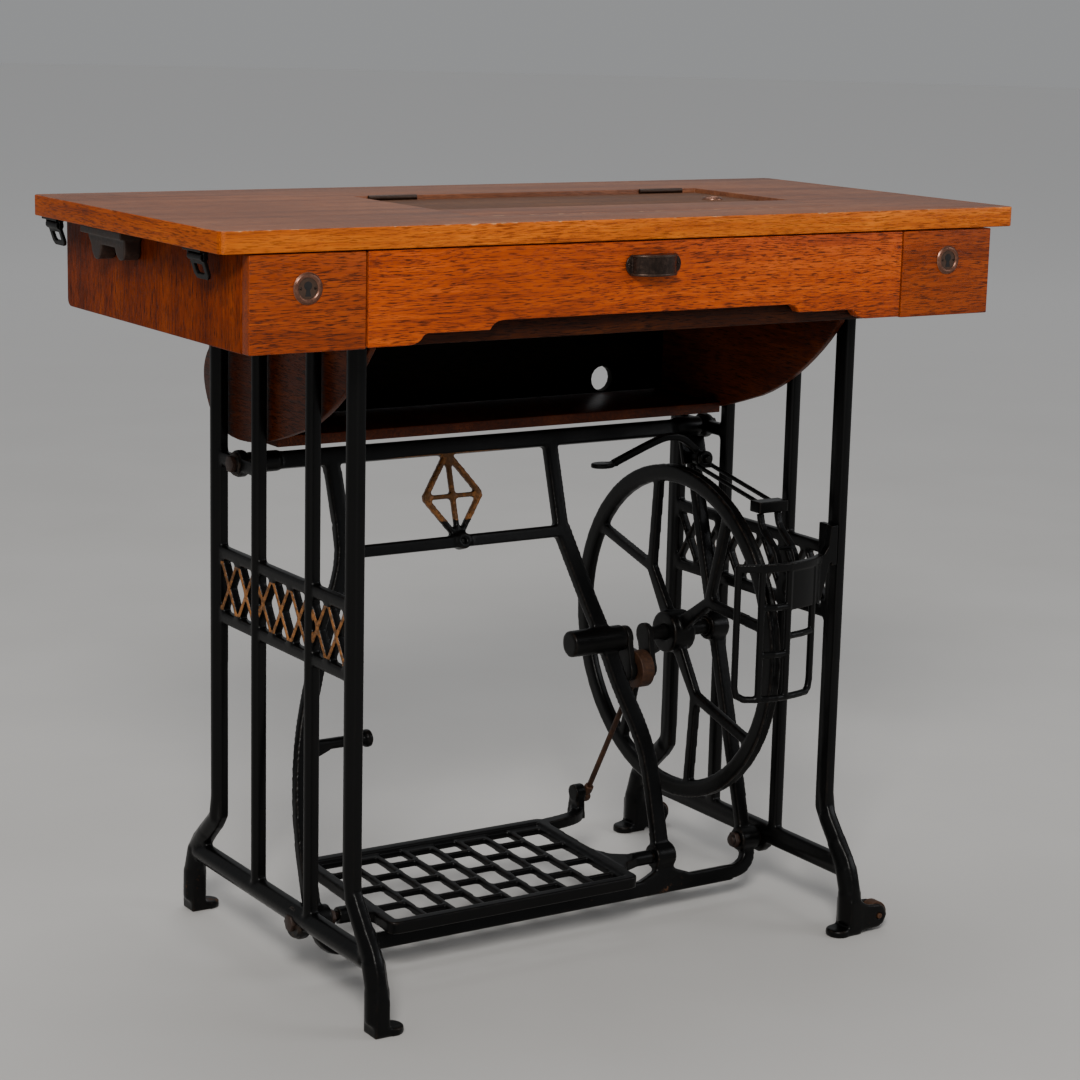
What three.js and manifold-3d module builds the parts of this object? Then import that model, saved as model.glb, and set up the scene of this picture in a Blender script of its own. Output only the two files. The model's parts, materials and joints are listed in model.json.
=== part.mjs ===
// A cast-iron treadle sewing table: a wooden top with drawers and a machine well,
// carried by two side frames, a tilted centre brace, and the treadle drive.
// Millimetres. X runs along the table, Y from front to back, Z up, floor at z = 0.
import * as THREE from 'three';
import { mergeVertices } from 'three/addons/utils/BufferGeometryUtils.js';
import Module from 'manifold-3d';

const wasm = await Module();
wasm.setup();

// ---------- driving dimensions ----------
const GAP = 0.4;                          // clearance between separate pieces
const TOP = { x: 456, y: 212, z: 770, thick: 20 };
const SLAB_UNDER = TOP.z - TOP.thick;
const OPENING = { x0: -156, x1: 272, y0: -145, y1: 101, split: -67 };
const BOX = { x: 428, front: -210, back: 195, z: 660, block: 310 };
const BOARD = 12;                         // thickness of the box sides
const WELL = { x: 280, board: 7.5 };      // outer face and thickness of the well end boards
const FRAME = { x: 288, thick: 11, legFront: -152, legBack: 138, footY: [-203, 202] };
const BARS_Y = [-68, 47];                 // inner uprights of a side frame
const BAND_Z = [340, 408];                // centres of the two ornament rails
const RAIL_Z = 70;                        // foot rail of a side frame
const LUG = { y: 91, z: 506 };            // upper brace bolt
const BRACE_FOOT = { y: -44, z: 57 };     // where the brace plane starts
const BRACE_LEAN = Math.atan2(LUG.z - BRACE_FOOT.z, LUG.y - BRACE_FOOT.y);
const BRACE_LENGTH = Math.hypot(LUG.z - BRACE_FOOT.z, LUG.y - BRACE_FOOT.y);
// The shaft and the treadle pivots lie in the leaning plane of the brace, s millimetres up it.
const inBrace = (s) => ({
  y: BRACE_FOOT.y + s * Math.cos(BRACE_LEAN),
  z: BRACE_FOOT.z + s * Math.sin(BRACE_LEAN),
});
const SHAFT_S = 244.5;
const PIVOT_S = 4.5;
const FOOT_BOLT_S = 6;
const SHAFT = { ...inBrace(SHAFT_S), r: 8 };
const PIVOT = inBrace(PIVOT_S);
const FOOT_BOLT = inBrace(FOOT_BOLT_S);
const WHEEL = { x: 210, r: 185, rimIn: 166, width: 13, hub: 23, hubHalf: 14, fork: 82 };
const CRANK = { x: 158, throw: 36, angle: -104 * Math.PI / 180, pin: 9 };
const TREADLE = { x0: -214, x1: 87, y0: -98, y1: 98, lift: 3 * Math.PI / 180 };
const FOOT_JOINT = { y: 111, z: 92 };     // lower end of the pitman
const ROLLER = { x: 320, z: 17, r: 14, width: 13 };
const SHIFTER = { x: 262, z: 476 };       // axis of the belt shifter, along Y
// The hasps hang from axes along Y, and half is half their width.
const HASP = { x: -445, z: 742, half: 14.5, lean: 18 * Math.PI / 180 };

const CRANK_PIN = {
  y: SHAFT.y + CRANK.throw * Math.cos(CRANK.angle),
  z: SHAFT.z + CRANK.throw * Math.sin(CRANK.angle),
};

// ---------- materials ----------
const COLOURS = {
  slab: [0x7a5240, 0.35, 0],
  walnut: [0x8a4a1e, 0.5, 0],
  inside: [0x5a3a22, 0.8, 0],
  iron: [0x141414, 0.45, 0.6],
  rusty: [0x3a2418, 0.7, 0.5],
  bronze: [0x3b2c1c, 0.45, 0.8],
};

// ---------- making shapes ----------
function solid(geometry) {
  const bare = geometry.clone();
  bare.deleteAttribute('normal');
  bare.deleteAttribute('uv');
  const merged = mergeVertices(bare, 1e-4);
  return new wasm.Manifold(new wasm.Mesh({
    numProp: 3,
    vertProperties: merged.attributes.position.array,
    triVerts: new Uint32Array(merged.index.array),
  }));
}

function geometryOf(manifold) {
  const mesh = manifold.getMesh();
  const geometry = new THREE.BufferGeometry();
  geometry.setAttribute('position', new THREE.BufferAttribute(new Float32Array(mesh.vertProperties), 3));
  geometry.setIndex(new THREE.BufferAttribute(new Uint32Array(mesh.triVerts), 1));
  const faceted = geometry.toNonIndexed();
  faceted.computeVertexNormals();
  return faceted;
}

// The first geometry joined with all the others.
function join(...geometries) {
  const flat = geometries.flat();
  return geometryOf(flat.map(solid).reduce((sum, next) => sum.add(next)));
}

// The first geometry with all the others cut away from it.
function cut(geometry, ...tools) {
  return geometryOf(tools.flat().map(solid).reduce((rest, tool) => rest.subtract(tool), solid(geometry)));
}

function block(x0, x1, y0, y1, z0, z1) {
  const box = new THREE.BoxGeometry(x1 - x0, y1 - y0, z1 - z0);
  return box.translate((x0 + x1) / 2, (y0 + y1) / 2, (z0 + z1) / 2);
}

// A round bar between two points, given as [x, y, z].
function rod(radius, from, to, sides = 16, endRadius = radius) {
  const a = new THREE.Vector3(...from);
  const b = new THREE.Vector3(...to);
  const bar = new THREE.CylinderGeometry(endRadius, radius, a.distanceTo(b), sides);
  const turn = new THREE.Quaternion().setFromUnitVectors(
    new THREE.Vector3(0, 1, 0), b.clone().sub(a).normalize());
  const middle = a.add(b).multiplyScalar(0.5);
  return bar.applyQuaternion(turn).translate(middle.x, middle.y, middle.z);
}

// A flat plate: its outline lies across the axis and it reaches from one place to another on it.
// Outline coordinates are (y, z) across x, (x, z) across y, and (x, y) across z.
function plate(outline, axis, from, to) {
  const shape = Array.isArray(outline)
    ? new THREE.Shape(outline.map(([u, v]) => new THREE.Vector2(u, v))) : outline;
  const flat = new THREE.ExtrudeGeometry(shape, {
    depth: to - from, bevelEnabled: false, curveSegments: 8,
  });
  const X = new THREE.Vector3(1, 0, 0);
  const Y = new THREE.Vector3(0, 1, 0);
  const Z = new THREE.Vector3(0, 0, 1);
  const turn = new THREE.Matrix4();
  if (axis === 'x') turn.makeBasis(Y, Z, X).setPosition(from, 0, 0);
  if (axis === 'y') turn.makeBasis(X, Z, Y.clone().negate()).setPosition(0, to, 0);
  if (axis === 'z') turn.makeBasis(X, Y, Z).setPosition(0, 0, from);
  return flat.applyMatrix4(turn);
}

// The outline of a flat bar of a given width along a line. A smooth line is a spline through
// its points, cut into that many pieces.
function strip(points, width, smooth = 0, endWidth = width) {
  const corners = points.map(([u, v]) => new THREE.Vector2(u, v));
  const line = smooth ? new THREE.SplineCurve(corners).getPoints(smooth) : corners;
  const left = [];
  const right = [];
  line.forEach((p, i) => {
    const before = line[Math.max(i - 1, 0)];
    const after = line[Math.min(i + 1, line.length - 1)];
    const along = after.clone().sub(before).normalize();
    const half = THREE.MathUtils.lerp(width, endWidth, i / (line.length - 1)) / 2;
    left.push([p.x - along.y * half, p.y + along.x * half]);
    right.unshift([p.x + along.y * half, p.y - along.x * half]);
  });
  return [...right, ...left].reverse();
}

function disc(u, v, radius, sides = 20) {
  return Array.from({ length: sides }, (_, i) => {
    const a = i * 2 * Math.PI / sides;
    return [u + radius * Math.cos(a), v + radius * Math.sin(a)];
  });
}

// A ring of given inner and outer radius as a shape with a hole.
function ringShape(u, v, inner, outer, sides = 24) {
  const shape = new THREE.Shape(disc(u, v, outer, sides).map(([a, b]) => new THREE.Vector2(a, b)));
  shape.holes.push(new THREE.Path(disc(u, v, inner, sides).map(([a, b]) => new THREE.Vector2(a, b))));
  return shape;
}

const BOLT = { head: 301, under: 294, hexagon: 9, shank: 5.8, nut: 6 };

// A bolt along X from the outside of a side frame inwards: a hexagonal head, a shank, and
// a nut if it goes through. tip and nut are distances from the middle of the table.
function bolt(side, y, z, tip, nut) {
  const between = (outline, a, b) => {
    const ends = [side * a, side * b];
    return plate(outline, 'x', Math.min(...ends), Math.max(...ends));
  };
  const hexagon = disc(y, z, BOLT.hexagon, 6);
  const pieces = [between(hexagon, BOLT.under, BOLT.head), between(disc(y, z, BOLT.shank, 12), tip, BOLT.head)];
  if (nut) pieces.push(between(hexagon, nut, nut + BOLT.nut));
  return join(pieces);
}

const table = new THREE.Group();

function add(name, geometry, kind) {
  const [color, roughness, metalness] = COLOURS[kind];
  const material = new THREE.MeshStandardMaterial({ color, roughness, metalness });
  const mesh = new THREE.Mesh(geometry, material);
  mesh.name = name;
  table.add(mesh);
  return mesh;
}

// ---------- the top, its lid and its leaf ----------
const HINGE = { y: 101.2, z: 768.2, r: 2.4, length: 56, x: [-110, 226] };

function roundedOutline(x0, x1, y0, y1, r) {
  const s = new THREE.Shape();
  s.moveTo(x0 + r, y0).lineTo(x1 - r, y0).absarc(x1 - r, y0 + r, r, -Math.PI / 2, 0)
    .lineTo(x1, y1 - r).absarc(x1 - r, y1 - r, r, 0, Math.PI / 2)
    .lineTo(x0 + r, y1).absarc(x0 + r, y1 - r, r, Math.PI / 2, Math.PI)
    .lineTo(x0, y0 + r).absarc(x0 + r, y0 + r, r, Math.PI, 1.5 * Math.PI);
  return s;
}

function tableTop() {
  const slab = plate(roundedOutline(-TOP.x, TOP.x, -TOP.y, TOP.y, 7), 'z', SLAB_UNDER, TOP.z);
  const hole = block(OPENING.x0, OPENING.x1, OPENING.y0, OPENING.y1, SLAB_UNDER - 5, TOP.z + 5);
  const notches = HINGE.x.map((x) => block(x - 29, x + 29, 90, HINGE.y + 3.2, SLAB_UNDER - 5, TOP.z + 5));
  return cut(slab, hole, notches);
}

function machineLid() {
  const { x0, x1, y1, split } = OPENING;
  const outline = roundedOutline(x0 + 0.8, x1 - 0.8, split + 3.6, y1 - 3.2, 3);
  return plate(outline, 'z', SLAB_UNDER + 0.5, TOP.z - 4.5);
}

function frontLeaf() {
  const { x0, x1, y0, split } = OPENING;
  return block(x0 + 0.8, x1 - 0.8, y0 + 0.8, split - 0.6, SLAB_UNDER + 2, TOP.z);
}

add('table_top', tableTop(), 'slab');
add('machine_lid', machineLid(), 'slab');
add('front_leaf', frontLeaf(), 'slab');
add('lid_key_plate', plate(ringShape(230, 11, 4, 11), 'z', TOP.z - 4.2, TOP.z - 2.8), 'bronze');
HINGE.x.forEach((x, i) => {
  const barrel = rod(HINGE.r, [x - 28, HINGE.y, HINGE.z], [x + 28, HINGE.y, HINGE.z], 12);
  add(`lid_hinge_${i ? 'right' : 'left'}`, barrel, 'bronze');
});
add('leaf_hinge', rod(2.2, [-120, -143.6, 747], [236, -143.6, 747], 10), 'bronze');

// ---------- the box under the top ----------
function centreFlapOutline() {
  const x = BOX.block - 1;
  const s = new THREE.Shape();
  s.moveTo(-x, 748.5).lineTo(-x, 661.5).lineTo(-266, 661.5);
  s.quadraticCurveTo(-256, 662, -252, 668).quadraticCurveTo(-250, 671.5, -245, 671.5);
  s.lineTo(-180, 671.5).quadraticCurveTo(-176, 680, -164, 680).lineTo(164, 680);
  s.quadraticCurveTo(176, 680, 180, 671.5).lineTo(245, 671.5);
  s.quadraticCurveTo(250, 671.5, 252, 668).quadraticCurveTo(256, 662, 266, 661.5);
  s.lineTo(x, 661.5).lineTo(x, 748.5);
  return s;
}

// A cup-shaped pull on a back plate: its front wall bows forwards, its top is closed and its bottom is open.
function cupPull() {
  const back = BOX.front - 0.3;
  const bow = (half, depth) => Array.from({ length: 17 }, (_, i) => {
    const a = Math.PI + i * Math.PI / 16;
    return [half * Math.cos(a), back + depth * Math.sin(a)];
  });
  const shell = cut(plate(bow(25, 16.5), 'z', 716, 736), plate(bow(22.8, 14), 'z', 700, 733));
  const ears = new THREE.Shape();
  ears.moveTo(-22, 716).lineTo(22, 716).absarc(22, 726, 10, -Math.PI / 2, Math.PI / 2);
  ears.lineTo(-22, 736).absarc(-22, 726, 10, Math.PI / 2, 1.5 * Math.PI);
  return join(shell, plate(ears, 'y', back - 1.8, back));
}

function drawer(side) {
  const name = side < 0 ? 'left' : 'right';
  const inner = BOX.block + 1;
  const outer = BOX.x - 0.5;
  const [a, b] = side < 0 ? [-outer, -inner] : [inner, outer];
  add(`${name}_drawer_front`, block(a, b, BOX.front, BOX.front + 14, BOX.z + 0.5, 748.5), 'walnut');
  const [p, q] = side < 0 ? [-412, -313] : [313, 412];
  const outside = block(p, q, BOX.front + 14.4, 150, 668, 738);
  add(`${name}_drawer_tray`, cut(outside, block(p + 8, q - 8, BOX.front + 23, 142, 675, 760)), 'inside');
  const lock = plate(ringShape(side * 370, 717.5, 4.2, 14.5), 'y', BOX.front - 2.2, BOX.front - 0.3);
  add(`${name}_key_plate`, lock, 'bronze');
}

function sidePanelOutline() {
  const s = new THREE.Shape();
  s.moveTo(-195.5, BOX.z).lineTo(BOX.back - 8, BOX.z).absarc(BOX.back - 8, BOX.z + 8, 8, -Math.PI / 2, 0);
  s.lineTo(BOX.back, SLAB_UNDER - GAP).lineTo(-195.5, SLAB_UNDER - GAP);
  return s;
}

add('left_side_panel', plate(sidePanelOutline(), 'x', -BOX.x, -BOX.x + BOARD), 'walnut');
add('right_side_panel', plate(sidePanelOutline(), 'x', BOX.x - BOARD, BOX.x), 'walnut');
add('back_panel', block(-BOX.x + BOARD + GAP, BOX.x - BOARD - GAP, BOX.back - 12, BOX.back - 1,
  BOX.z + 1, SLAB_UNDER - GAP), 'walnut');
[-1, 1].forEach((side) => {
  const name = side < 0 ? 'left' : 'right';
  const [a, b] = side < 0 ? [-310, -299] : [299, 310];
  add(`${name}_divider`, block(a, b, -195.5, BOX.back - 13, BOX.z, SLAB_UNDER - GAP), 'inside');
  const [c, d] = side < 0 ? [-415.5, -310.5] : [310.5, 415.5];
  add(`${name}_drawer_floor`, block(c, d, -195, BOX.back - 13, BOX.z + 0.5, BOX.z + 7), 'inside');
  drawer(side);
});
add('front_rail', block(-298.5, 298.5, -195, -184, BOX.z - 0.5, 686), 'inside');
add('centre_flap', plate(centreFlapOutline(), 'y', BOX.front, BOX.front + 13), 'walnut');
add('flap_pull', cupPull(), 'bronze');

// ---------- the well that the machine drops into ----------
function wellEndOutline() {
  const s = new THREE.Shape();
  s.moveTo(-160, SLAB_UNDER - GAP).lineTo(-160, 652).lineTo(-140, 630);
  s.bezierCurveTo(-110, 600, -70, 572, -30, 557);
  s.bezierCurveTo(20, 541, 60, 527, 110, 526);
  s.bezierCurveTo(165, 526, 180, 545, 190, 568);
  s.bezierCurveTo(197, 585, 193, 600, 181, 612).lineTo(181, SLAB_UNDER - GAP);
  return s;
}

[-1, 1].forEach((side) => {
  const name = side < 0 ? 'left' : 'right';
  const [a, b] = side < 0 ? [-WELL.x, -WELL.x + WELL.board] : [WELL.x - WELL.board, WELL.x];
  add(`well_${name}_end`, plate(wellEndOutline(), 'x', a, b), 'walnut');
});
const WELL_IN = WELL.x - WELL.board - GAP;
const backBoard = block(-WELL_IN, WELL_IN, 152, 162, 540.5, SLAB_UNDER - GAP);
add('well_back_board', cut(backBoard, rod(14, [190, 140, 556], [190, 170, 556], 16)), 'inside');
add('well_bottom_board', block(-WELL_IN, WELL_IN, 40, 162, 529, 540), 'inside');

// ---------- cast-iron side frames ----------
const LEG_PATHS = {
  front: [[-152, 300], [-152, 145], [-156, 122], [-176, 95], [-195, 71], [-203, 45], [-203, 12]],
  back: [[138, 300], [138, 145], [142, 122], [168, 97], [193, 73], [202, 45], [202, 12]],
};

function sideFrame(side) {
  const x0 = side * FRAME.x - FRAME.thick / 2;
  const x1 = x0 + FRAME.thick;
  const flat = (outline) => plate(outline, 'x', x0, x1);
  const upright = (y, width, low, high) => flat([[y - width / 2, low], [y + width / 2, low],
    [y + width / 2, high], [y - width / 2, high]]);
  const level = (z, height, a = FRAME.legFront, b = FRAME.legBack) => flat([[a, z - height / 2],
    [b, z - height / 2], [b, z + height / 2], [a, z + height / 2]]);
  const pieces = [
    upright(FRAME.legFront, 21, 290, 749),
    upright(FRAME.legBack, 21, 290, 749),
    flat(strip(LEG_PATHS.front, 20, 16, 23)),
    flat(strip(LEG_PATHS.back, 20, 16, 23)),
    ...BARS_Y.map((y) => upright(y, 13, RAIL_Z, 749)),
    level(743, 12), level(BAND_Z[0], 12.5), level(BAND_Z[1], 12.5), level(RAIL_Z, 22, -186, 186),
    level(LUG.z, 14, 47, FRAME.legBack),
    plate(disc(LUG.y, LUG.z, 14), 'x', x0, x1),
    plate(disc(FOOT_BOLT.y, FOOT_BOLT.z, 18), 'x', x0, x1),
    ...ornamentBand().map(flat),
    ...FRAME.footY.map((y) => foot(side, y)).flat(),
  ];
  const bolts = [
    plate(disc(LUG.y, LUG.z, 6.4, 12), 'x', x0 - 20, x1 + 20),
    plate(disc(FOOT_BOLT.y, FOOT_BOLT.z, 6.4, 12), 'x', x0 - 20, x1 + 20),
  ];
  return cut(join(pieces), bolts);
}

// A row of lozenges between the two band rails, from two crossing zigzags.
function ornamentBand() {
  const cells = 7;
  const from = FRAME.legFront + 10;
  const pitch = (FRAME.legBack - FRAME.legFront - 20) / cells;
  const [low, high] = [BAND_Z[0] + 4, BAND_Z[1] - 4];
  return Array.from({ length: cells }, (_, i) => {
    const a = from + i * pitch;
    return [strip([[a, low], [a + pitch, high]], 5), strip([[a, high], [a + pitch, low]], 5)];
  }).flat();
}

// Round toe pad pointing inwards; the right feet also carry a roller fork pointing outwards.
function foot(side, y) {
  const legX = side * FRAME.x;
  const padX = legX - side * 14;
  const pieces = [
    plate(disc(padX, y, 13.5), 'z', 0, 8),
    block(Math.min(padX, legX), Math.max(padX, legX), y - 12.2, y + 12.2, 0, 8.5),
    block(legX - 8, legX + 8, y - 12.8, y + 12.8, 0, 38),
  ];
  if (side < 0) return pieces;
  const cheek = [[290, 3], [ROLLER.x, 4], [327, 8], [331, 17], [327, 26], [ROLLER.x, 30], [306, 31], [290, 40]];
  const hole = rod(3.3, [ROLLER.x, y - 20, ROLLER.z], [ROLLER.x, y + 20, ROLLER.z], 12);
  [y - 12.5, y + 7].forEach((from) => pieces.push(cut(plate(cheek, 'y', from, from + 5.5), hole)));
  return pieces;
}

add('left_side_frame', sideFrame(-1), 'iron');
add('right_side_frame', sideFrame(1), 'iron');
FRAME.footY.forEach((y, i) => {
  const name = i ? 'rear' : 'front';
  const wheel = cut(rod(ROLLER.r, [ROLLER.x, y - 6.5, ROLLER.z], [ROLLER.x, y + 6.5, ROLLER.z], 24),
    rod(3.3, [ROLLER.x, y - 20, ROLLER.z], [ROLLER.x, y + 20, ROLLER.z], 12));
  add(`${name}_roller`, wheel, 'rusty');
  const pin = rod(2.9, [ROLLER.x, y - 13.5, ROLLER.z], [ROLLER.x, y + 13.5, ROLLER.z], 12);
  add(`${name}_roller_pin`, pin, 'rusty');
});

// ---------- centre brace, one casting in a leaning plane ----------
// Inside it, u runs along X, s runs up the plane, and the casting is flat across it.
function centreBrace() {
  const L = BRACE_LENGTH;
  const flat = (outline, half = 6) => plate(outline, 'z', -half, half);
  const across = (x0, x1, s, r) => rod(r, [x0, s, 0], [x1, s, 0], 20);
  const leftArm = [[-186, L], [-184, 380], [-196, 335], [-222, 282], [-249, 212], [-264, 155], [-272, 90],
    [-272, 6]];
  const diagonal = [[81, 372], [103, 293], [119, 240], [130, 196], [149, 135], [154, 90], [153, 6]];
  const loop = [[-264, 6], [-267, -12], [-255, -25], [-236, -28]];
  const pieces = [
    flat([[-262, L - 9], [262, L - 9], [262, L + 9], [-262, L + 9]]),
    flat([[-190, 361], [86, 361], [86, 374], [-190, 374]]),
    flat(strip([[81, 365], [81, 466]], 15)),
    flat(strip(leftArm, 17, 18)),
    flat(strip(diagonal, 18, 16)),
    flat(strip([[266, 6], [268, L]], 15)),
    flat(strip([[-240, -28], [240, -28]], 17)),
    flat(strip(loop, 15, 8)),
    flat(strip(loop.map(([u, s]) => [-u, s]), 15, 8)),
    flat(strip([[118, -28], [153, -14]], 14)), flat(strip([[188, -28], [153, -14]], 14)),
    flat(strip([[153, -30], [153, 6]], 16)),
    across(-281.5, -256, FOOT_BOLT_S, 13), across(256, 281.5, FOOT_BOLT_S, 13),
    across(141, 166, PIVOT_S, 13.5),
    across(-281.5, -246, L, 11), across(246, 281.5, L, 11),
    across(72, 140, SHAFT_S, 14.5), across(252, 277, SHAFT_S, 15),
    across(-262, -186, 177, 6), across(-190, -182, 177, 9.5),
    flat(strip([[-258, 172], [-232, 176]], 22, 0, 12), 5),
    ...braceOrnament().map((outline) => flat(outline, 4)),
    flat(disc(-44, 367.5, 9), 7.5),
  ];
  const holes = [
    rod(3, [-44, 367.5, -20], [-44, 367.5, 20], 12),
    across(-300, -264, FOOT_BOLT_S, 6.4), across(230, 300, FOOT_BOLT_S, 6.4),
    across(130, 180, PIVOT_S, 4.4), across(-263, -250, PIVOT_S, 4.4),
    across(-300, -258, L, 6.4), across(258, 300, L, 6.4),
    across(89, 150, SHAFT_S, 10.6), across(240, 300, SHAFT_S, 10.6),
  ];
  const casting = cut(join(pieces), holes);
  return casting.rotateX(BRACE_LEAN).translate(0, BRACE_FOOT.y, BRACE_FOOT.z);
}

// Two nested lozenges between the upper rails.
function braceOrnament() {
  const [low, high] = [370, 462];
  const mid = (low + high) / 2;
  const lozenge = (c, w) => [[[c - w, mid], [c, high]], [[c, high], [c + w, mid]],
    [[c + w, mid], [c, low]], [[c, low], [c - w, mid]]].map((line) => strip(line, 6));
  return [...lozenge(-48, 34), strip([[-82, mid], [-14, mid]], 5), strip([[-48, low], [-48, high]], 5)];
}

add('centre_brace', centreBrace(), 'iron');
[-1, 1].forEach((side) => {
  const name = side < 0 ? 'left' : 'right';
  add(`${name}_lug_bolt`, bolt(side, LUG.y, LUG.z, 266), 'rusty');
  const [tip, nut] = side < 0 ? [266, 0] : [247, 249.6];
  add(`${name}_foot_bolt`, bolt(side, FOOT_BOLT.y, FOOT_BOLT.z, tip, nut), 'rusty');
});

// ---------- flywheel, crankshaft and pitman ----------
function flywheel() {
  const { r, rimIn, width, hub, hubHalf, fork } = WHEEL;
  const half = width / 2;
  // Its section, as (radius, place along the axle), has a shallow groove for the belt.
  const rim = [[rimIn, -4], [rimIn + 4, -half], [r, -half], [r, -half + 2.5], [r - 3.5, 0],
    [r, half - 2.5], [r, half], [rimIn + 4, half], [rimIn, 4], [rimIn, -4]];
  const rimSolid = new THREE.LatheGeometry(rim.map(([a, b]) => new THREE.Vector2(a, b)), 56);
  const pieces = [rimSolid, rod(hub, [0, -hubHalf, 0], [0, hubHalf, 0], 28)];
  const at = (radius, angle) => [radius * Math.cos(angle), radius * Math.sin(angle)];
  for (let i = 0; i < 4; i += 1) {
    const a = (55 + 90 * i) * Math.PI / 180;
    const branch = Math.PI / 8;
    const spoke = (outline) => plate(outline, 'y', -4.5, 4.5);
    pieces.push(spoke(strip([at(18, a), at(fork, a)], 17, 0, 12)));
    [-1, 1].forEach((turn) => {
      pieces.push(spoke(strip([at(fork - 4, a), at(rimIn + 3, a + turn * branch)], 11)));
    });
    pieces.push(spoke(disc(...at(fork, a), 8, 12)));
  }
  const bore = rod(SHAFT.r + GAP, [0, -40, 0], [0, 40, 0], 20);
  // The wheel is made round Y with its face in X and Z, then turned so that its axle runs along X.
  return cut(join(pieces), bore).rotateZ(Math.PI / 2).translate(WHEEL.x, SHAFT.y, SHAFT.z);
}

function crankshaft() {
  const shaft = (x0, x1, r = SHAFT.r) => rod(r, [x0, SHAFT.y, SHAFT.z], [x1, SHAFT.y, SHAFT.z], 20);
  const web = (x0, x1) => {
    const outline = strip([[SHAFT.y, SHAFT.z], [CRANK_PIN.y, CRANK_PIN.z]], 22);
    return [plate(outline, 'x', x0, x1), plate(disc(SHAFT.y, SHAFT.z, 13), 'x', x0, x1),
      plate(disc(CRANK_PIN.y, CRANK_PIN.z, 12), 'x', x0, x1)];
  };
  const [left, right] = [CRANK.x - 12, CRANK.x + 12];
  const pin = rod(CRANK.pin, [left, CRANK_PIN.y, CRANK_PIN.z], [right, CRANK_PIN.y, CRANK_PIN.z], 20);
  return join(shaft(93, 148), web(141, 148), pin, web(168, 175), shaft(168, 280.5));
}

function pitmanRod() {
  const { x } = CRANK;
  const ring = plate(ringShape(CRANK_PIN.y, CRANK_PIN.z, CRANK.pin + GAP, 20.5, 24), 'x', x - 8, x + 8);
  const reach = Math.hypot(CRANK_PIN.y - FOOT_JOINT.y, CRANK_PIN.z - FOOT_JOINT.z);
  const along = (d) => [x, CRANK_PIN.y + (FOOT_JOINT.y - CRANK_PIN.y) * d / reach,
    CRANK_PIN.z + (FOOT_JOINT.z - CRANK_PIN.z) * d / reach];
  return join(ring, rod(6, along(16), along(34), 12, 3.4), rod(3.2, along(30), along(reach - 8), 12));
}

// The socket at the lower end of the pitman, with its lock nut.
function pitmanFoot() {
  const { x } = CRANK;
  const reach = Math.hypot(CRANK_PIN.y - FOOT_JOINT.y, CRANK_PIN.z - FOOT_JOINT.z);
  const unit = [0, (FOOT_JOINT.y - CRANK_PIN.y) / reach, (FOOT_JOINT.z - CRANK_PIN.z) / reach];
  const at = (d) => [x, FOOT_JOINT.y + unit[1] * d, FOOT_JOINT.z + unit[2] * d];
  const nut = rod(5.6, at(-7.6), at(2), 6);
  return join(nut, rod(4.4, at(1), at(6), 12), new THREE.SphereGeometry(6.5, 16, 10).translate(...at(9)));
}

const bearing = (x0, x1, inner, outer) =>
  plate(ringShape(SHAFT.y, SHAFT.z, inner, outer), 'x', x0, x1);
add('crank_bearing', bearing(90, 139, SHAFT.r + GAP, 10), 'iron');
add('wheel_bearing', bearing(251, 279, SHAFT.r + GAP, 10), 'iron');
add('flywheel', flywheel(), 'iron');
add('crankshaft', crankshaft(), 'iron');
add('pitman_rod', pitmanRod(), 'rusty');
add('pitman_foot', pitmanFoot(), 'rusty');

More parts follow.
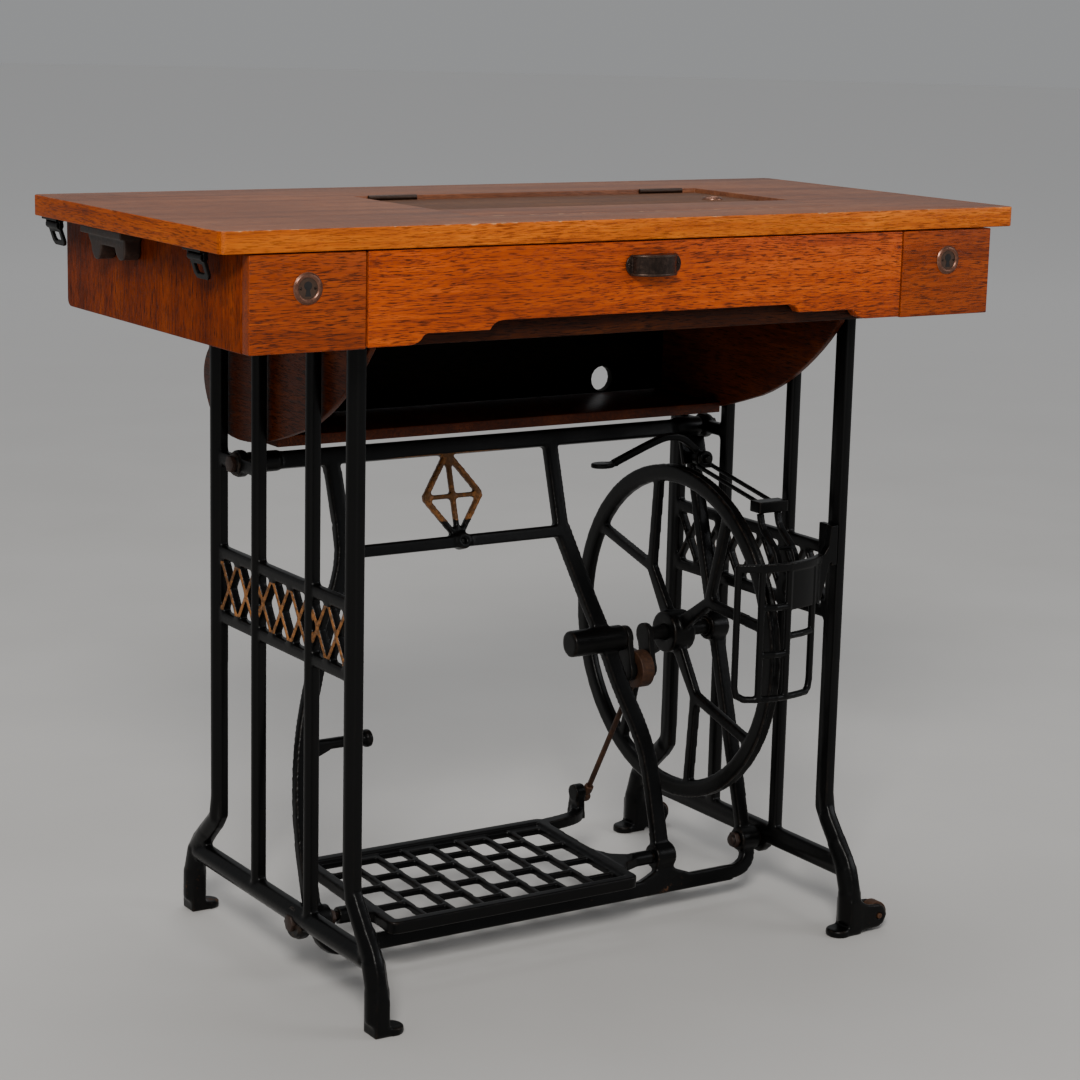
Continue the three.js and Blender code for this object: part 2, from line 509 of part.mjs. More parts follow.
// ---------- treadle ----------
// The plate is modelled level with its pivots at the origin, then tilted a little with its rear edge up.
function treadle() {
  const { x0, x1, y0, y1, lift } = TREADLE;
  const [front, rear] = [y0 - PIVOT.y, y1 - PIVOT.y];
  // The boss that stands beside the foot of the pitman rod.
  const heel = new THREE.Vector3(0, FOOT_JOINT.y - PIVOT.y, FOOT_JOINT.z - PIVOT.z);
  heel.applyAxisAngle(new THREE.Vector3(1, 0, 0), -lift);
  const columns = 8;
  const edge = 15;
  const pitch = (x1 - x0 - 2 * edge) / columns;
  const rows = 48.5;
  const cells = [];
  for (let c = 0; c < columns; c += 1) {
    const left = x0 + edge + c * pitch + (c ? 3 : 0);
    const right = x0 + edge + (c + 1) * pitch - (c < columns - 1 ? 3 : 0);
    const start = front + edge - (c % 2 ? rows / 2 : 0) - 8;
    for (let y = start; y < rear; y += rows) {
      const a = Math.max(y + 2.5, front + edge);
      const b = Math.min(y + rows - 2.5, rear - edge);
      if (b - a > 7) cells.push(block(left, right, a, b, -20, 20));
    }
  }
  const frame = plate(roundedOutline(x0, x1, front, rear, 9), 'z', -7, 6);
  const recess = block(x0 + edge - 4, x1 - edge + 4, front + edge - 4, rear - edge + 4, 2.5, 20);
  const bottom = block(x0 + edge - 4, x1 - edge + 4, front + edge - 4, rear - edge + 4, -20, -5);
  const lattice = cut(frame, recess, bottom, cells);
  const cornerArm = [[x1 - 10, rear - 12], [118, rear - 6], [136, rear + 2], [143.5, rear + 14]];
  const arms = [
    plate([[x1 - 4, -34], [x1 + 12, -14], [118, -7], [118, 7], [x1 + 12, 18], [x1 - 4, 44]], 'z', -6, 5),
    rod(8, [112, 0, 0], [139.5, 0, 0], 16),
    plate([[x0 + 4, -26], [x0 - 10, -8], [x0 - 10, 8], [x0 + 4, 26]], 'z', -6, 5),
    rod(9, [x0 - 32, 0, 0], [x0 - 4, 0, 0], 16),
    plate(strip(cornerArm, 15, 10, 13), 'z', -6, 6),
    plate([[heel.y - 13, -6], [heel.y + 12, -6], [heel.y + 8, heel.z], [heel.y - 8, heel.z]], 'x', 139, 149),
    rod(9.5, [138, heel.y, heel.z], [151, heel.y, heel.z], 20),
  ];
  const seats = [rod(4.6, [131, 0, 0], [150, 0, 0], 12), rod(4.6, [x0 - 40, 0, 0], [x0 - 22, 0, 0], 12)];
  return cut(join(lattice, arms), seats).rotateX(lift).translate(0, PIVOT.y, PIVOT.z);
}

const pivot = (x0, x1) => rod(4, [x0, PIVOT.y, PIVOT.z], [x1, PIVOT.y, PIVOT.z], 12);
const lockNut = plate(disc(PIVOT.y, PIVOT.z, 8, 6), 'x', -255.6, -250);
add('treadle', treadle(), 'iron');
add('left_treadle_pivot', join(pivot(-262.6, -237), lockNut), 'rusty');
add('right_treadle_pivot', pivot(133, 168), 'rusty');

// ---------- dress guard in front of the flywheel ----------
// Seen from above it bulges forwards round the rim; its front face follows this line.
const GUARD = {
  line: [[262, -158], [247, -168], [225, -175], [200, -178], [174, -174], [152, -161]],
  top: 404, bottom: 265, bar: 3.8, tines: [153, 175, 208, 246],
};

function dressGuard() {
  const corners = GUARD.line.map(([x, y]) => new THREE.Vector2(x, y));
  const plan = new THREE.SplineCurve(corners).getPoints(48).map((p) => [p.x, p.y]);
  const at = (x, z) => {
    const [u, v] = plan.reduce((best, p) => (Math.abs(p[0] - x) < Math.abs(best[0] - x) ? p : best));
    return [u, v, z];
  };
  const wall = (points, low, high, width) => plate(strip(points, width), 'z', low, high);
  // A round bar through some points, with a ball at each bend.
  const bar = (points) => points.flatMap((p, i) => [
    ...(i ? [rod(GUARD.bar, points[i - 1], p, 8)] : []),
    new THREE.SphereGeometry(GUARD.bar * 1.03, 8, 6).translate(...p),
  ]);
  const [first, second, third, last] = GUARD.tines;
  const { top, bottom } = GUARD;
  const floorOf = [8, 20, 32, 44, 56, 68, 78, 86].map((dx) => at(first + dx, bottom));
  const loop = [at(first, top), at(first, bottom + 12), at(first + 2.5, bottom + 4), ...floorOf,
    at(last - 2, bottom + 4), at(last, bottom + 12), at(last, top)];
  const across = (from, to, z) => bar([from, (from + to) / 2, to].map((x) => at(x, z)));
  // The web that carries the guard curves up from its plate to the leg.
  const web = [[246, 358], [260, 356], [267, 380], [271, 398], [280.6, 404], [280.6, 438], [271.5, 438],
    [269, 416], [262, 407], [246, 404]];
  return join(
    wall(plan, 400, 408, 7),
    wall(plan.slice(0, 26), 358, 404, 5),
    bar(loop), bar([at(second, top), at(second, bottom)]), bar([at(third, top), at(third, bottom)]),
    across(second, third, 362), across(second, third, 312), across(third, last, 330),
    plate(web, 'y', -164, -155),
    plate([[-164, 396], [-140, 396], [-140, 438], [-164, 438]], 'x', 274, 280.6),
  );
}
add('dress_guard', dressGuard(), 'iron');

// ---------- belt shifter ----------
// Pressing the flat end down turns the whole lever about an axis along Y, and its fork throws the belt off.
const bracketPlate = block(246, 279, 426, 456, 6.4, 11)
  .rotateX(BRACE_LEAN).translate(0, BRACE_FOOT.y, BRACE_FOOT.z);
const shifterPin = rod(4, [SHIFTER.x, 44, SHIFTER.z], [SHIFTER.x, 74, SHIFTER.z], 12);
add('shifter_bracket', join(bracketPlate, shifterPin), 'iron');

function shifterLever() {
  const y = 60;
  const hub = rod(9, [SHIFTER.x, y - 5, SHIFTER.z], [SHIFTER.x, y + 5.4, SHIFTER.z], 16);
  const line = [[SHIFTER.x, SHIFTER.z + 3], [240, 497], [222, 502], [200, 498], [146, 478]];
  const arm = plate(strip(line, 8, 16, 7), 'y', y - 4, y + 4);
  const pad = plate(disc(0, 0, 14, 20), 'z', -2.5, 2.5).scale(1, 0.75, 1).translate(132, y, 477);
  const bore = rod(4 + GAP, [SHIFTER.x, y - 20, SHIFTER.z], [SHIFTER.x, y + 20, SHIFTER.z], 12);
  return cut(join(hub, arm, pad, block(138, 150, y - 4, y + 4, 475, 480)), bore);
}

// The yoke is a bent wire that slants forwards to the block in which the belt fork sits.
const YOKE_END = { x: 251, y: -76, z: 450 };

function shifterYoke() {
  const rear = { y: 50, z: SHIFTER.z - 8 };
  const wire = (from, to) => rod(2.6, from, to, 8);
  const side = (dx) => wire([SHIFTER.x + dx, rear.y, rear.z], [YOKE_END.x + dx, YOKE_END.y, YOKE_END.z]);
  const turn = wire([SHIFTER.x - 11, rear.y, rear.z], [SHIFTER.x + 11, rear.y, rear.z]);
  const eye = plate(ringShape(SHIFTER.x, SHIFTER.z, 4 + GAP, 9), 'y', 47.4, 52.6);
  return join(side(-9), side(9), turn, eye);
}

function beltFork() {
  const { x, y, z } = YOKE_END;
  const prong = strip([[y - 6, z - 10.4], [y - 12, z - 26], [y - 34, z - 44], [y - 42, z - 60]], 5, 8);
  const prongs = [x - 11, x + 12].map((middle) => plate(prong, 'x', middle - 3.5, middle + 3.5));
  return join(prongs, rod(2.5, [x - 12, y - 34, z - 44], [x + 13, y - 34, z - 44], 8));
}

const beltBlock = block(YOKE_END.x - 18, YOKE_END.x + 20, YOKE_END.y - 14, YOKE_END.y + 4,
  YOKE_END.z - 9, YOKE_END.z + 3);
add('shifter_lever', shifterLever(), 'iron');
add('shifter_yoke', cut(shifterYoke(), beltBlock), 'iron');
add('belt_block', beltBlock, 'iron');
add('belt_fork', beltFork(), 'iron');

// ---------- fittings on the left end ----------
// Lifting handle with two finger lobes under a flange; the table is tipped up by it onto its rollers.
function liftHandle() {
  const s = new THREE.Shape();
  s.moveTo(14, 743).lineTo(14, 729).quadraticCurveTo(15, 722, 24, 722).quadraticCurveTo(33, 723, 36, 733);
  s.lineTo(68, 733).quadraticCurveTo(70, 719, 80, 718).quadraticCurveTo(89, 719, 92, 732);
  s.lineTo(98, 738).lineTo(98, 743);
  return join(plate(s, 'x', -446, -428.5), block(-451, -428.5, 12, 106, 742, SLAB_UNDER - GAP));
}

// A flat link with a slot that hangs from a rod, leaning in towards the side of the box.
function hasp(y) {
  const name = y > 0 ? 'rear' : 'front';
  const { x, z, half, lean } = HASP;
  const ear = (from) => block(x - 2, x + 2, from, from + 2.4, z - 2, 748);
  const base = block(x - 6, x + 8, y - half - 4, y + half + 4, 746.8, SLAB_UNDER - GAP);
  const axle = rod(2, [x, y - half - 3, z], [x, y + half + 3, z], 10);
  add(`${name}_hasp_bracket`, join(base, axle, ear(y - half - 3), ear(y + half + 0.6)), 'iron');
  const outline = [[-half, -17], [-half + 4, -21], [half - 4, -21], [half, -17], [half, 0], [-half, 0]];
  const slot = [[-half + 6, -6.5], [half - 6, -6.5], [half - 6, -14], [half - 8, -16], [-half + 8, -16],
    [-half + 6, -14]];
  const vectors = (points) => points.map(([u, v]) => new THREE.Vector2(u, v));
  const link = new THREE.Shape(vectors(outline));
  link.holes.push(new THREE.Path(vectors(slot)));
  const knuckle = rod(4, [0, -half, 0], [0, half, 0], 12);
  const bore = rod(2 + GAP, [0, -half - 5, 0], [0, half + 5, 0], 10);
  const hanging = cut(join(plate(link, 'x', -1.6, 1.6), knuckle), bore);
  add(`${name}_hasp`, hanging.rotateY(-lean).translate(x, y, z), 'iron');
}
add('lift_handle', liftHandle(), 'rusty');
hasp(184);
hasp(-143);

export default table;
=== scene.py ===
import json
import math
import random

import bmesh
import bpy
from mathutils import Matrix, Vector


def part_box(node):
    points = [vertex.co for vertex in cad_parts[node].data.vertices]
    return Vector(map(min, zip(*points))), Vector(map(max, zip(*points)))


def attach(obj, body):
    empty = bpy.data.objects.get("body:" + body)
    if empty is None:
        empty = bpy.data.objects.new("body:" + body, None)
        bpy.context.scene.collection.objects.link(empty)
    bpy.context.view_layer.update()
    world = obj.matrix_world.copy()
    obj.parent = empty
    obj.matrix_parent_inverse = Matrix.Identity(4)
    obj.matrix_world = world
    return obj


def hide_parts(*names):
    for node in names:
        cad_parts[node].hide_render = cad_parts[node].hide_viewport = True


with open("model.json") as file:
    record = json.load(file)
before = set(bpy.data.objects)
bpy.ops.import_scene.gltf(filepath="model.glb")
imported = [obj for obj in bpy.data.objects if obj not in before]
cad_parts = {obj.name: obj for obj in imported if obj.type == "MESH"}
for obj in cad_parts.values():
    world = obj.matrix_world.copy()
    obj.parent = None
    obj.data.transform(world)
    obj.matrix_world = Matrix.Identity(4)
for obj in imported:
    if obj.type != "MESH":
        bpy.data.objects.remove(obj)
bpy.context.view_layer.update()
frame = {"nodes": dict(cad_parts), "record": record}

MM = 0.001
SLOT_OF = {part["node"]: part["material_slot"] for part in frame["record"]["subparts"]}
BODY_OF = {
    node: body
    for body, nodes in frame["record"]["behaviour"]["bodies"].items()
    for node in nodes
}
X, Y, Z = Vector((1, 0, 0)), Vector((0, 1, 0)), Vector((0, 0, 1))


# ---------- materials ----------
class Nodes:
    """A material under construction. Its texture place is the object's own coordinates, in metres."""

    def __init__(self, name):
        self.material = bpy.data.materials.new(name)
        self.material.use_nodes = True
        self.tree = self.material.node_tree
        self.shader = self.tree.nodes["Principled BSDF"]
        self.place = self.add("TexCoord").outputs["Object"]

    def add(self, kind, inputs=None, **settings):
        node = self.tree.nodes.new("ShaderNode" + kind)
        for key, value in settings.items():
            setattr(node, key, value)
        for key, value in (inputs or {}).items():
            self.put(node.inputs[key], value)
        return node

    def put(self, socket, value):
        if isinstance(value, bpy.types.NodeSocket):
            self.tree.links.new(value, socket)
        else:
            socket.default_value = value

    def finish(self, **inputs):
        for key, value in inputs.items():
            self.put(self.shader.inputs[key.replace("_", " ")], value)
        return self.material

    def stretched(self, scale, shift=(0, 0, 0), place=None):
        mapping = {"Vector": place or self.place, "Scale": scale, "Location": shift}
        return self.add("Mapping", mapping).outputs["Vector"]

    def noise(self, scale, detail=3, roughness=0.5, shift=(0, 0, 0), place=None):
        """Noise from 0 to 1, with about scale features per metre along each axis."""
        place = self.stretched(scale, shift, place)
        inputs = {"Vector": place, "Scale": 1, "Detail": detail, "Roughness": roughness}
        return self.add("TexNoise", inputs).outputs["Fac"]

    def math(self, operation, a, b=0.0, clamp=False):
        node = self.add("Math", {0: a, 1: b}, operation=operation, use_clamp=clamp)
        return node.outputs[0]

    def between(self, value, low, high):
        """0 below low, 1 above high, and smooth from one to the other."""
        inputs = {"Value": value, "From Min": low, "From Max": high}
        node = self.add("MapRange", inputs, interpolation_type="SMOOTHSTEP")
        return node.outputs["Result"]

    def ramp(self, value, *colours):
        """Colours spread evenly from value 0.25 to 0.75, where most of a noise lies."""
        node = self.add("ValToRGB", {"Fac": value})
        stops = node.color_ramp.elements
        while len(stops) < len(colours):
            stops.new(0.5)
        for i, colour in enumerate(colours):
            stops[i].position = 0.25 + 0.5 * i / (len(colours) - 1)
            stops[i].color = (*colour, 1)
        return node.outputs["Color"]

    def mix(self, factor, a, b):
        node = self.add("Mix", data_type="RGBA")
        for socket, value in zip(node.inputs[:1] + node.inputs[6:8], (factor, a, b)):
            self.put(socket, (*value, 1) if isinstance(value, tuple) else value)
        return node.outputs[2]

    def bump(self, height, distance, strength):
        inputs = {"Height": height, "Distance": distance, "Strength": strength}
        return self.add("Bump", inputs).outputs["Normal"]

    def axis(self, index):
        return self.add("SeparateXYZ", {0: self.place}).outputs[index]

    def pointiness(self):
        return self.add("NewGeometry").outputs["Pointiness"]

    def facing_up(self):
        """The upward part of the surface's own normal."""
        normal = self.add("NewGeometry").outputs["Normal"]
        return self.add("SeparateXYZ", {0: normal}).outputs[2]


WORN_WOOD = (0.62, 0.36, 0.18)


def shade(colour, amount):
    """A colour made so many times as bright."""
    return tuple(min(1, c * amount) for c in colour)


def along(grain, lengthwise, across):
    """A texture scale per metre that is stretched along the grain axis, 0 to 2."""
    return tuple(lengthwise if i == grain else across for i in range(3))


def wear(n, worn_above, seams):
    """How far each rubbed place is worn, from 0 to 1, nibbled at its rim."""
    fine = n.noise((120, 120, 120), detail=4)
    nibble = n.math("MULTIPLY", n.math("SUBTRACT", fine, 0.62), 0.008)
    marks = []
    if worn_above is not None:
        height = n.math("ADD", n.axis(2), nibble)
        marks.append(n.between(height, worn_above, worn_above + 0.0012))
    for seam in seams:
        apart = n.math("ABSOLUTE", n.math("SUBTRACT", n.axis(1), seam))
        clear = n.between(n.math("SUBTRACT", apart, nibble), 0.0004, 0.0014)
        near = n.math("SUBTRACT", 1.0, clear)
        marks.append(n.math("MULTIPLY", near, n.between(n.facing_up(), 0.6, 0.9)))
    return marks


def wood(name, grain, tones, gloss=0.40, pores=1.0, shine=0.2, shift=0.0,
         worn=0.7, worn_above=None, seams=()):
    """Oiled walnut: wavy figure, fine streaks and short dark pores that follow the grain axis.
    It is rubbed pale above the height worn_above and at the seams, which are places along Y."""
    dark, mid, light = tones
    n = Nodes(name)
    shift = (shift, shift * 1.7, shift * 0.6)
    bend = n.noise(along(grain, 3, 11), detail=2, shift=shift)
    sway = n.add("CombineXYZ", {0: bend, 1: bend, 2: bend}).outputs[0]
    sway = n.add("VectorMath", {0: sway, 3: 0.022}, operation="SCALE").outputs[0]
    place = n.add("VectorMath", {0: n.place, 1: sway}, operation="ADD").outputs[0]
    bent = {"shift": shift, "place": place}
    figure = n.noise(along(grain, 3.5, 40), detail=4, roughness=0.6, **bent)
    streaks = n.noise(along(grain, 13, 330), detail=4, roughness=0.65, **bent)
    dashes = n.noise(along(grain, 70, 1050), detail=3, roughness=0.6, **bent)
    ripple = n.noise(along(grain, 70, 16), detail=2, shift=shift)
    tone = n.math("ADD", n.math("MULTIPLY", figure, 0.45), n.math("MULTIPLY", streaks, 0.45))
    tone = n.math("ADD", tone, n.math("MULTIPLY", ripple, 0.10))
    contrast = n.math("MULTIPLY", n.math("SUBTRACT", tone, 0.5), 1.5)
    colour = n.ramp(n.math("ADD", contrast, 0.5), dark, mid, light)
    pore = n.math("MULTIPLY", n.between(dashes, 0.49, 0.63), 0.9 * pores)
    colour = n.mix(pore, colour, shade(dark, 0.3))
    cloud = n.noise((5, 5, 5), detail=2, shift=shift)
    colour = n.mix(n.math("MULTIPLY", n.between(cloud, 0.40, 0.75), 0.4), colour, shade(mid, 0.55))
    if worn_above is not None or seams:
        for mark in wear(n, worn_above, seams):
            colour = n.mix(n.math("MULTIPLY", mark, worn), colour, WORN_WOOD)
    rough = n.math("ADD", gloss, n.math("MULTIPLY", n.math("SUBTRACT", streaks, 0.5), 0.3))
    height = n.math("SUBTRACT", n.math("MULTIPLY", streaks, 0.5), n.math("MULTIPLY", pore, 0.8))
    return n.finish(Base_Color=colour, Roughness=rough, Normal=n.bump(height, 0.0003, 0.6),
                    Specular_IOR_Level=shine, Coat_Weight=0.15 * shine, Coat_Roughness=0.25)


# Rust and gold paint in three tones each, and cast iron where its black skin is rubbed off.
RUST_TONES = ((0.02, 0.008, 0.004), (0.06, 0.023, 0.009), (0.12, 0.052, 0.022))
GOLD_TONES = ((0.17, 0.065, 0.018), (0.38, 0.16, 0.050), (0.56, 0.27, 0.10))
RUBBED_IRON = (0.075, 0.05, 0.035)


def iron(name, rust=0.2, base=0.0014, gloss=0.24):
    """Black japanned cast iron: sandy skin, edges rubbed to brown metal, rust low down, and gold
    paint where the mesh says so."""
    n = Nodes(name)
    cloud = n.noise((9, 9, 9), detail=4)
    speck = n.noise((160, 160, 160), detail=3, roughness=0.65)
    sand = n.noise((700, 700, 700), detail=2)
    black = ((base * 0.8,) * 3, (base, base, base * 1.05), (base * 1.7, base * 1.6, base * 1.5))
    colour = n.ramp(cloud, *black)
    edge = n.math("MULTIPLY", n.between(n.pointiness(), 0.515, 0.60), n.between(speck, 0.38, 0.62))
    colour = n.mix(n.math("MULTIPLY", edge, 0.55), colour, RUBBED_IRON)
    low = n.math("SUBTRACT", 1.0, n.between(n.axis(2), 0.0, 0.13))
    where = n.math("ADD", n.math("MULTIPLY", cloud, 0.6), n.math("MULTIPLY", speck, 0.4))
    limit = n.math("SUBTRACT", 0.75 - 0.16 * rust, n.math("MULTIPLY", low, 0.075))
    amount = n.math("DIVIDE", n.math("SUBTRACT", where, limit), 0.07, clamp=True)
    colour = n.mix(n.math("MULTIPLY", amount, 0.85), colour, n.ramp(speck, *RUST_TONES))
    painted = n.add("Attribute", attribute_name="gold").outputs["Fac"]
    flaked = n.between(n.math("ADD", speck, n.math("MULTIPLY", cloud, 0.5)), 0.60, 0.82)
    left = n.math("SUBTRACT", 1.0, n.math("MULTIPLY", flaked, 0.75))
    gilt = n.math("MULTIPLY", n.between(painted, 0.4, 0.6), left)
    colour = n.mix(gilt, colour, n.ramp(speck, *GOLD_TONES))
    grit = n.math("ADD", n.math("MULTIPLY", speck, 0.16), n.math("MULTIPLY", amount, 0.3))
    height = n.math("ADD", n.math("MULTIPLY", speck, 0.8), n.math("MULTIPLY", sand, 0.4))
    return n.finish(Base_Color=colour, Roughness=n.math("ADD", gloss, grit),
                    Normal=n.bump(height, 0.0005, 0.35), Specular_IOR_Level=0.15)


def metal(name, tones, rough, metallic):
    """Worn metal in three tones, with darker pits."""
    n = Nodes(name)
    cloud = n.noise((40, 40, 40), detail=4, roughness=0.6)
    speck = n.noise((300, 300, 300), detail=3, roughness=0.7)
    tone = n.math("ADD", n.math("MULTIPLY", cloud, 0.5), n.math("MULTIPLY", speck, 0.5))
    colour = n.ramp(tone, *tones)
    rubbed = n.math("MULTIPLY", n.between(n.pointiness(), 0.52, 0.62), 0.6)
    colour = n.mix(rubbed, colour, shade(tones[2], 2.2))
    roughness = n.math("ADD", rough, n.math("MULTIPLY", n.math("SUBTRACT", speck, 0.5), 0.4))
    return n.finish(Base_Color=colour, Roughness=roughness, Metallic=metallic,
                    Normal=n.bump(speck, 0.0004, 0.4))


# The dark, middle and light tone of each wood and metal.
TOP_TONES = ((0.085, 0.024, 0.008), (0.20, 0.064, 0.024), (0.31, 0.115, 0.048))
LID_TONES = ((0.06, 0.020, 0.006), (0.12, 0.042, 0.013), (0.19, 0.076, 0.026))
EDGE_TONES = ((0.28, 0.045, 0.001), (0.60, 0.125, 0.003), (0.82, 0.22, 0.008))
# The same edging made darker for the left and right strips: painted shade on the sides.
SHADED_EDGE_TONES = ((0.18, 0.026, 0.001), (0.42, 0.072, 0.002), (0.60, 0.13, 0.004))
APRON_TONES = ((0.17, 0.020, 0.001), (0.46, 0.066, 0.002), (0.64, 0.115, 0.004))
BLOCK_TONES = ((0.12, 0.016, 0.001), (0.30, 0.045, 0.002), (0.44, 0.080, 0.004))
SIDE_TONES = ((0.07, 0.009, 0.001), (0.21, 0.030, 0.002), (0.32, 0.056, 0.003))
# Darker walnut for the well under the box: painted shade.
WELL_SHADE_TONES = ((0.03, 0.005, 0.001), (0.085, 0.015, 0.002), (0.16, 0.033, 0.005))
# Very dark walnut for the rail under the flap: painted shade.
SHADED_RAIL_TONES = ((0.014, 0.003, 0.001), (0.045, 0.010, 0.002), (0.085, 0.022, 0.004))
INSIDE_TONES = ((0.06, 0.020, 0.005), (0.14, 0.048, 0.012), (0.24, 0.095, 0.028))
# Near black for the inside of the well: painted shade of the recess.
WELL_INSIDE_SHADE_TONES = ((0.002, 0.0015, 0.001), (0.006, 0.004, 0.002), (0.012, 0.007, 0.003))
BROWN_TONES = ((0.006, 0.003, 0.002), (0.020, 0.009, 0.005), (0.045, 0.022, 0.012))
BOLT_TONES = ((0.002, 0.001, 0.001), (0.010, 0.005, 0.003), (0.035, 0.015, 0.008))
OLD_RUST_TONES = ((0.008, 0.004, 0.003), (0.04, 0.015, 0.006), (0.11, 0.045, 0.016))
BRONZE_TONES = ((0.006, 0.004, 0.003), (0.024, 0.014, 0.010), (0.075, 0.045, 0.032))
COPPER_TONES = ((0.05, 0.020, 0.012), (0.14, 0.060, 0.038), (0.26, 0.130, 0.085))
# Near black for the keyhole: painted shade in place of the hole's dark inside.
KEYHOLE_SHADE_TONES = ((0.001, 0.001, 0.001), (0.002, 0.002, 0.002), (0.004, 0.003, 0.003))

# Where the lid and the leaf meet what is round them, as places along Y.
BACK_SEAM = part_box("machine_lid")[1].y
FRONT_SEAM, LEAF_SEAM = (corner.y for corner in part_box("front_leaf"))

VENEER = {"gloss": 0.46, "pores": 0.5, "shine": 0.36}

FINISH = {
    "top": wood("top_veneer", 0, TOP_TONES, **VENEER),
    "lid": wood("lid_veneer", 0, LID_TONES, gloss=0.5, pores=0.6, shine=0.22, shift=3.1,
                seams=(BACK_SEAM,)),
    "leaf": wood("leaf_veneer", 0, TOP_TONES, **VENEER, shift=5.7, seams=(FRONT_SEAM, LEAF_SEAM)),
    "apron": wood("apron_walnut", 0, APRON_TONES, shift=1.3),
    "block": wood("block_walnut", 0, BLOCK_TONES, shift=2.3),
    "side": wood("side_walnut", 2, SIDE_TONES, shift=4.1, shine=0.05),
    "back": wood("back_walnut", 0, SIDE_TONES, shift=5.1, shine=0.05),
    "well": wood("well_walnut_painted_shade", 1, WELL_SHADE_TONES, shift=7.7, shine=0.15),
    "well_back": wood("well_back_walnut_painted_shade", 0, WELL_SHADE_TONES, shift=3.7, shine=0.1),
    "rail": wood("rail_walnut_painted_shade", 0, SHADED_RAIL_TONES, shift=6.2, shine=0.1),
    "well_inside_shade": wood("well_inside_painted_shade", 0, WELL_INSIDE_SHADE_TONES, shift=8.3, gloss=0.6, shine=0.05),
    "inside": wood("inside_wood", 1, INSIDE_TONES, gloss=0.7, shine=0.1, shift=9.1),
    "iron": iron("black_iron"),
    "old_iron": iron("worn_iron", rust=0.5, base=0.003, gloss=0.34),
    "brown": metal("browned_casting", BROWN_TONES, 0.5, 0.1),
    "bolt": metal("old_bolts", BOLT_TONES, 0.5, 0.3),
    "rusty": metal("rusted_iron", OLD_RUST_TONES, 0.6, 0.3),
    "bronze": metal("dark_bronze", BRONZE_TONES, 0.36, 0.7),
    "copper": metal("rubbed_bronze", COPPER_TONES, 0.32, 0.7),
    "dark": metal("keyhole_painted_shade", KEYHOLE_SHADE_TONES, 0.8, 0.0),
}
SLOT_FINISH = {"slab_wood": "top", "walnut": "apron", "inside_wood": "inside", "iron": "iron",
               "rusty_iron": "rusty", "bronze": "bronze"}


# ---------- making pieces ----------
def piece_from(name, bm, body, finish, smooth_angle=40, replaced=()):
    mesh = bpy.data.meshes.new(name)
    bm.to_mesh(mesh)
    bm.free()
    return place_piece(name, mesh, body, finish, smooth_angle, replaced)


def place_piece(name, mesh, body, finish, smooth_angle=40, replaced=()):
    mesh.polygons.foreach_set("use_smooth", [True] * len(mesh.polygons))
    mesh.set_sharp_from_angle(angle=math.radians(smooth_angle))
    mesh.materials.clear()
    mesh.materials.append(FINISH[finish])
    piece = bpy.data.objects.new(name, mesh)
    bpy.context.scene.collection.objects.link(piece)
    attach(piece, body)
    if replaced:
        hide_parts(*replaced)
    return piece


def clean_copy(node):
    """The CAD node's mesh with its doubled corners merged."""
    bm = bmesh.new()
    bm.from_mesh(frame["nodes"][node].data)
    bmesh.ops.remove_doubles(bm, verts=bm.verts, dist=0.02 * MM)
    return bm


def joinery(node, ease=1.0, finish=None, segments=2):
    """A CAD piece with its flat faces made whole and its arrises eased by so many millimetres."""
    bm = clean_copy(node)
    bmesh.ops.dissolve_limit(bm, angle_limit=math.radians(1), verts=bm.verts, edges=bm.edges)
    sharp = math.radians(30)
    edges = [e for e in bm.edges if len(e.link_faces) == 2 and e.calc_face_angle(0) > sharp]
    bmesh.ops.bevel(bm, geom=edges, offset=ease * MM, segments=segments, profile=0.5,
                    affect="EDGES", clamp_overlap=True)
    bmesh.ops.triangulate(bm, faces=[f for f in bm.faces if len(f.verts) > 4])
    slot = SLOT_OF[node]
    return piece_from(f"{node}_shaped", bm, BODY_OF[node], finish or SLOT_FINISH[slot],
                      replaced=[node])


def casting(node, voxel, rounds, keep=0.4, finish=None, extra=None, gold=None):
    """A CAD casting cast again: its edges soften and its inner corners fill, as in a sand mould.
    The voxel is in millimetres, and keep is the share of the faces that is left. extra adds ribs
    first, and gold says how much gold paint a point with a normal has, from 0 to 1."""
    bm = clean_copy(node)
    if extra:
        extra(bm)
    rough = bpy.data.meshes.new("rough")
    bm.to_mesh(rough)
    bm.free()
    draft = bpy.data.objects.new("draft", rough)
    bpy.context.scene.collection.objects.link(draft)
    remesh = draft.modifiers.new("voxels", "REMESH")
    remesh.mode = "VOXEL"
    remesh.voxel_size = voxel * MM
    soften = draft.modifiers.new("soften", "SMOOTH")
    soften.iterations = rounds
    thin = draft.modifiers.new("thin", "DECIMATE")
    thin.ratio = keep
    graph = bpy.context.evaluated_depsgraph_get()
    mesh = bpy.data.meshes.new_from_object(draft.evaluated_get(graph))
    bpy.data.objects.remove(draft)
    paint = mesh.attributes.new("gold", "FLOAT", "POINT")
    if gold:
        amounts = [gold(v.co, v.normal) for v in mesh.vertices]
        paint.data.foreach_set("value", amounts)
    slot = SLOT_OF[node]
    return place_piece(f"{node}_cast", mesh, BODY_OF[node], finish or SLOT_FINISH[slot],
                       180, [node])


def second_finish(piece, finish, has_it):
    """Gives another finish to the faces whose normal has_it accepts."""
    piece.data.materials.append(FINISH[finish])
    for face in piece.data.polygons:
        if has_it(face.normal):
            face.material_index = 1


def basis(axis):
    """Two directions across an axis."""
    side = axis.cross(Z if abs(axis.z) < 0.9 else X).normalized()
    return side, axis.cross(side).normalized()


def circle(centre, side, up, radius, count):
    """Points round a circle of so many millimetres."""
    turns = [2 * math.pi * i / count for i in range(count)]
    return [centre + (side * math.cos(a) + up * math.sin(a)) * radius * MM for a in turns]


